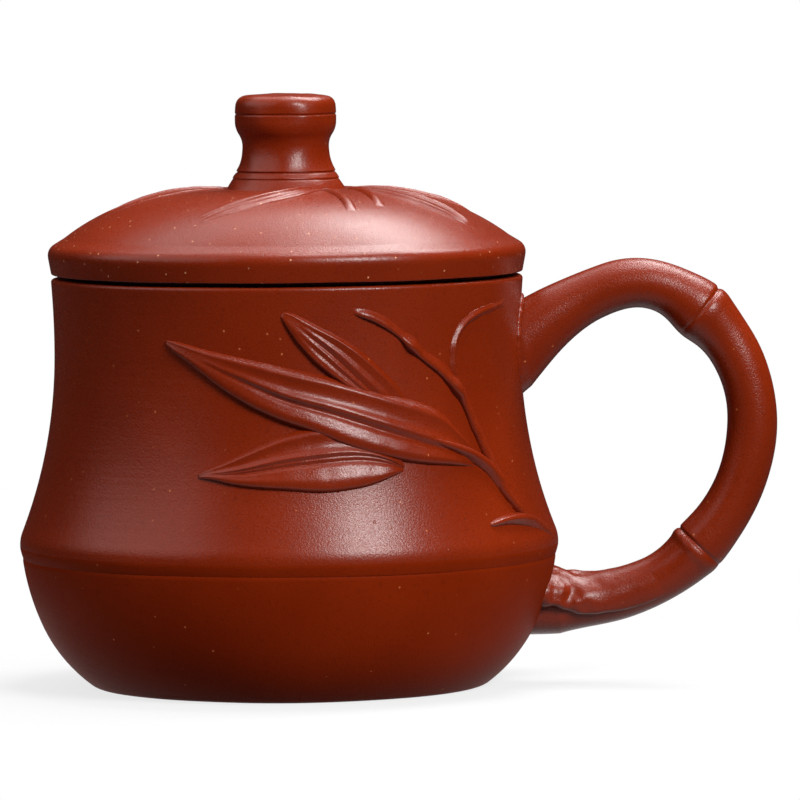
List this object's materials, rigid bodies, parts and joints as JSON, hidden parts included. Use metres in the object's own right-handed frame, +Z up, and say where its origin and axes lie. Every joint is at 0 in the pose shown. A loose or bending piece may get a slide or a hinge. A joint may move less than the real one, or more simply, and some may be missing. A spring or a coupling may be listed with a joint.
{
  "type": "lidded tea cup",
  "caption": "Waisted red clay tea cup with a bent bamboo-cane handle, applied bamboo leaves and a loose domed lid whose knob lifts it off for drinking.",
  "frame": {"origin": "centre of the foot ring, on the plane that the cup stands on", "axes": "+Z up along the cup's axis, +X towards the handle, the leaf sprig faces -Y"},
  "size_m": [0.1295, 0.092, 0.1008],
  "materials": {
    "body_clay": "unglazed burnished red clay, satin",
    "handle_clay": "unglazed burnished red clay, satin",
    "sprig_clay": "unglazed burnished red clay, satin",
    "lid_clay": "unglazed burnished red clay, satin, a little lighter"
  },
  "bodies": {
    "cup": {"cup_wall": "body_clay", "cup_bowl": "body_clay", "cup_floor": "body_clay", "handle": "handle_clay", "handle_sheath": "handle_clay", "twig_main": "sprig_clay", "twig_arch": "sprig_clay", "leaf_long": "sprig_clay", "leaf_low": "sprig_clay", "leaf_upper": "sprig_clay", "leaf_bud": "sprig_clay", "leaf_stalk": "sprig_clay"},
    "lid_seat": {"lid_flange": "lid_clay"},
    "lid": {"lid_cap": "lid_clay", "lid_knob": "lid_clay", "lid_leaf_front": "lid_clay", "lid_leaf_right": "lid_clay", "lid_leaf_side": "lid_clay", "lid_leaf_left": "lid_clay", "lid_twig_front": "lid_clay", "lid_twig_right": "lid_clay"}
  },
  "joints": [
    {"name": "lid_lift", "type": "slide", "parent": "cup", "child": "lid_seat", "axis": [0, 0, 1], "range_m": [0, 0.06]},
    {"name": "lid_turn", "type": "hinge", "parent": "lid_seat", "child": "lid", "pos_m": [0, 0, 0.07], "axis": [0, 0, 1], "continuous": true}
  ]
}
